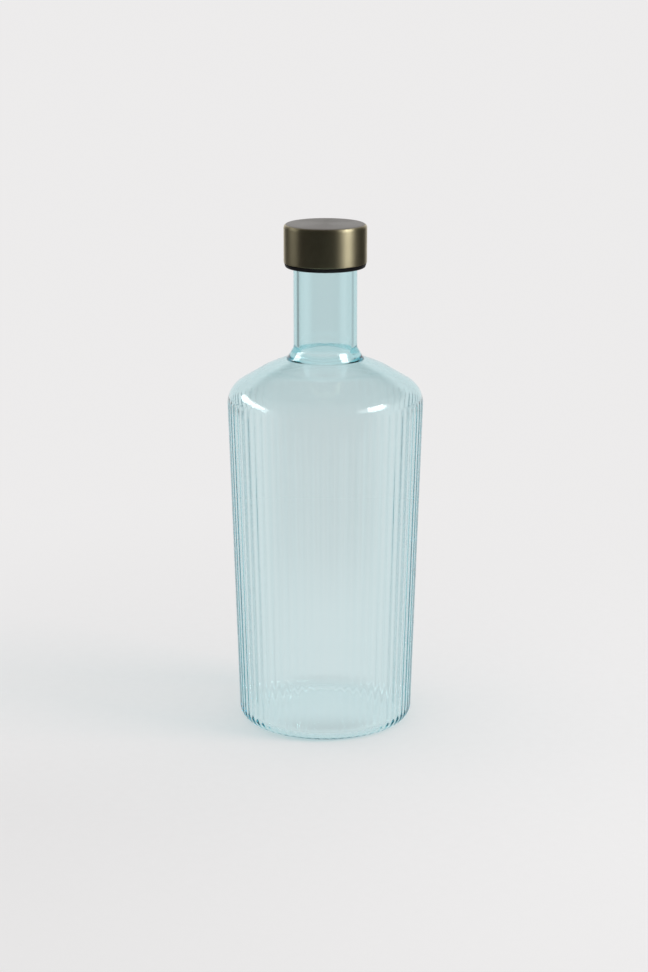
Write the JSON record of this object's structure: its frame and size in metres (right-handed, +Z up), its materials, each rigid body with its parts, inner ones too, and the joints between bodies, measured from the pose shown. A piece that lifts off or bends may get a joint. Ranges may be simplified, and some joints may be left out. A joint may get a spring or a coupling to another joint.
{
  "type": "screw-cap water bottle",
  "caption": "Round reeded glass water bottle with a straight neck, closed by a metal-clad cap that unscrews and lifts off.",
  "frame": {"origin": "middle of the foot, on the surface that the bottle stands on", "axes": "+Z up along the bottle's axis, from the foot to the cap; X and Y are alike, because the bottle is round"},
  "size_m": [0.1036, 0.1036, 0.27],
  "materials": {
    "turquoise_glass": "clear, tinted pale turquoise in the mass, fire-polished",
    "pale_silicone": "matt moulded silicone",
    "black_plastic": "fine matt moulding",
    "dark_bronze": "satin dark bronze, brushed round the axis"
  },
  "bodies": {
    "bottle": {"glass_bottle": "turquoise_glass"},
    "seal": {"sealing_disc": "pale_silicone"},
    "cap": {"cap_insert": "black_plastic", "cap_shell": "dark_bronze"}
  },
  "joints": [
    {"name": "cap_lift", "type": "slide", "parent": "bottle", "child": "seal", "axis": [0, 0, 1], "range_m": [0, 0.028]},
    {"name": "cap_turn", "type": "hinge", "parent": "seal", "child": "cap", "pos_m": [0, 0, 0.2652], "axis": [0, 0, 1], "range_deg": [0, 2520]}
  ],
  "couplings": [
    {"joint": "cap_turn", "follows": "cap_lift", "rad_per_m": 1570.8}
  ]
}
